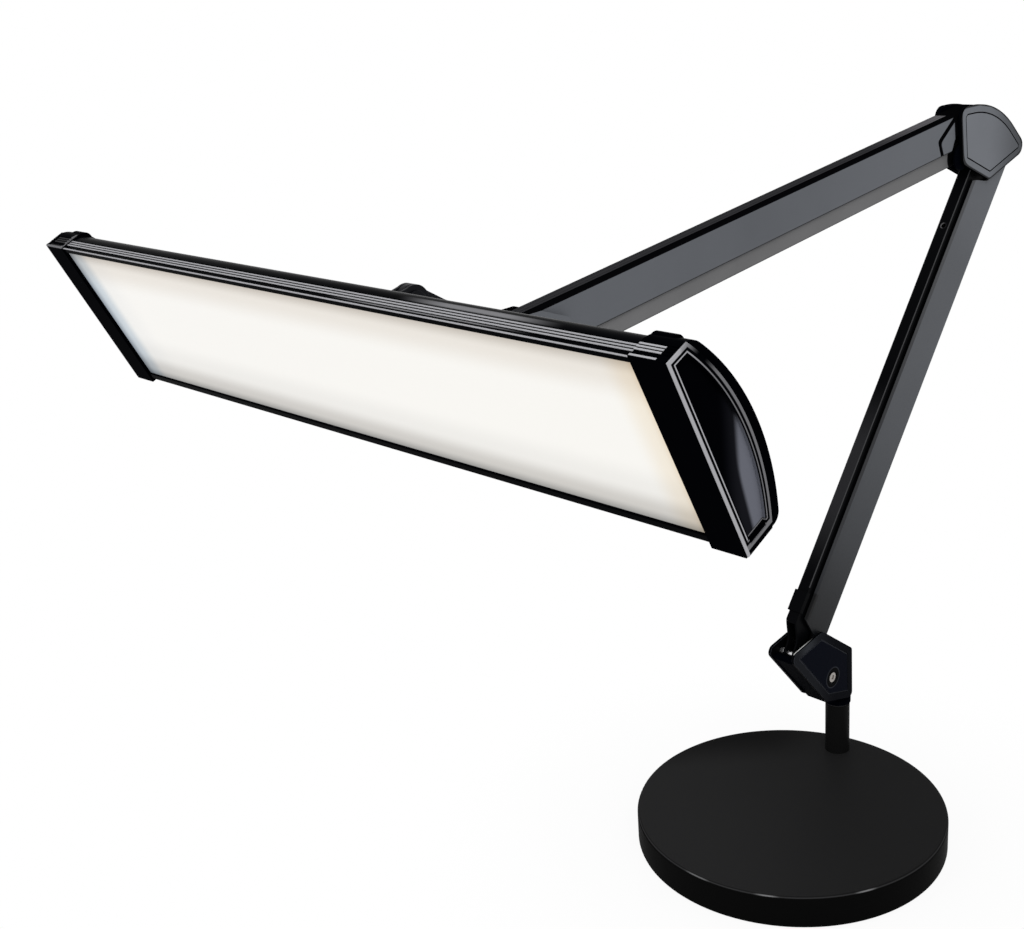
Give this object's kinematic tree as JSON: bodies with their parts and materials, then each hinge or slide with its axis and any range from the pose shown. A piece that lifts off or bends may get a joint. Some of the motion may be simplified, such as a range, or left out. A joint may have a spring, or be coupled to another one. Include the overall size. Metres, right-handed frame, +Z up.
{
  "type": "desk lamp",
  "caption": "Desk lamp with a wide flat light panel on a two-section balanced arm of nested channels, a round weighted base, a swivel post, and a tilting and swivelling head.",
  "frame": {"origin": "centre of the base's rest face, on the surface it stands on", "axes": "+Z up; +X from the post toward the light panel; +Y to the panel's left as seen from behind it"},
  "size_m": [0.7102, 0.5016, 0.5158],
  "materials": {
    "base_paint": "satin black powder coat",
    "pad_rubber": "matte foam rubber",
    "post_paint": "satin black paint",
    "bolt_steel": "zinc plated",
    "washer_nylon": "nylon",
    "bracket_black": "fine satin black",
    "cover_grey": "satin dark grey",
    "pin_steel": "turned steel",
    "arm_paint": "satin dark grey",
    "arm_black": "satin black",
    "yoke_black": "satin black",
    "shell_black": "gloss black",
    "cap_black": "gloss black",
    "opal": "opal, lit",
    "board_white": "white solder mask",
    "switch_black": "satin black"
  },
  "bodies": {
    "base": {"base_disc": "base_paint", "base_pad": "pad_rubber", "post_tube": "post_paint", "post_bolt": "bolt_steel", "swivel_washer": "washer_nylon"},
    "turret": {"turret_body": "bracket_black", "turret_cover_near": "bracket_black", "turret_cover_far": "bracket_black", "turret_screw_near": "bolt_steel", "turret_screw_far": "bolt_steel", "lower_pin_outer": "pin_steel", "lower_pin_inner": "pin_steel"},
    "lower_arm": {"lower_outer": "arm_paint"},
    "lower_link": {"lower_inner": "arm_black"},
    "elbow": {"elbow_core": "bracket_black", "elbow_cover_near": "cover_grey", "elbow_cover_far": "cover_grey", "elbow_pin_a": "pin_steel", "elbow_pin_b": "pin_steel", "elbow_pin_c": "pin_steel", "elbow_pin_d": "pin_steel", "elbow_pad_near": "bracket_black", "elbow_pad_far": "bracket_black"},
    "upper_arm": {"upper_outer": "arm_paint"},
    "upper_link": {"upper_inner": "arm_paint"},
    "wrist": {"wrist_core": "bracket_black", "wrist_cover_near": "cover_grey", "wrist_cover_far": "cover_grey", "wrist_pin_outer": "pin_steel", "wrist_pin_inner": "pin_steel"},
    "yoke": {"yoke": "yoke_black", "yoke_cap_near": "yoke_black", "yoke_cap_far": "yoke_black", "tilt_pin": "pin_steel"},
    "head": {"head_mount": "yoke_black", "head_shell": "shell_black", "head_cap_near": "cap_black", "head_cap_far": "cap_black", "diffuser": "opal", "led_board": "board_white", "switch_body": "switch_black"},
    "button": {"switch_button": "switch_black"}
  },
  "joints": [
    {"name": "swivel", "type": "hinge", "parent": "base", "child": "turret", "pos_m": [-0.0915, -0.021, 0.071], "axis": [0, 0, 1], "range_deg": [-170, 170]},
    {"name": "lower_tilt", "type": "hinge", "parent": "turret", "child": "lower_arm", "pos_m": [-0.0501, -0.021, 0.1345], "axis": [0, 1, 0], "range_deg": [-13, 32]},
    {"name": "lower_link_tilt", "type": "hinge", "parent": "turret", "child": "lower_link", "pos_m": [-0.0321, -0.021, 0.1345], "axis": [0, 1, 0], "range_deg": [-13, 32]},
    {"name": "elbow_level", "type": "hinge", "parent": "lower_arm", "child": "elbow", "pos_m": [-0.30286, -0.021, 0.46993], "axis": [0, 1, 0], "range_deg": [-32, 13]},
    {"name": "upper_tilt", "type": "hinge", "parent": "elbow", "child": "upper_arm", "pos_m": [-0.25526, -0.021, 0.50453], "axis": [0, 1, 0], "range_deg": [-42, 18]},
    {"name": "upper_link_tilt", "type": "hinge", "parent": "elbow", "child": "upper_link", "pos_m": [-0.25526, -0.021, 0.48653], "axis": [0, 1, 0], "range_deg": [-42, 18]},
    {"name": "wrist_level", "type": "hinge", "parent": "upper_arm", "child": "wrist", "pos_m": [0.2408, -0.021, 0.44186], "axis": [0, 1, 0], "range_deg": [-18, 42]},
    {"name": "head_swivel", "type": "hinge", "parent": "wrist", "child": "yoke", "pos_m": [0.2668, -0.021, 0.44186], "axis": [0, 0, 1], "range_deg": [-50, 50]},
    {"name": "head_tilt", "type": "hinge", "parent": "yoke", "child": "head", "pos_m": [0.304, -0.021, 0.47586], "axis": [0, 1, 0], "range_deg": [-30, 25]},
    {"name": "switch_press", "type": "slide", "parent": "head", "child": "button", "axis": [0.8957, 0, -0.4446], "range_m": [0, 0.0015], "stiffness_N_per_m": 1000, "springref_m": -0.0015}
  ],
  "couplings": [
    {"joint": "lower_link_tilt", "follows": "lower_tilt", "ratio": 1},
    {"joint": "elbow_level", "follows": "lower_tilt", "ratio": -1},
    {"joint": "upper_link_tilt", "follows": "upper_tilt", "ratio": 1},
    {"joint": "wrist_level", "follows": "upper_tilt", "ratio": -1}
  ]
}
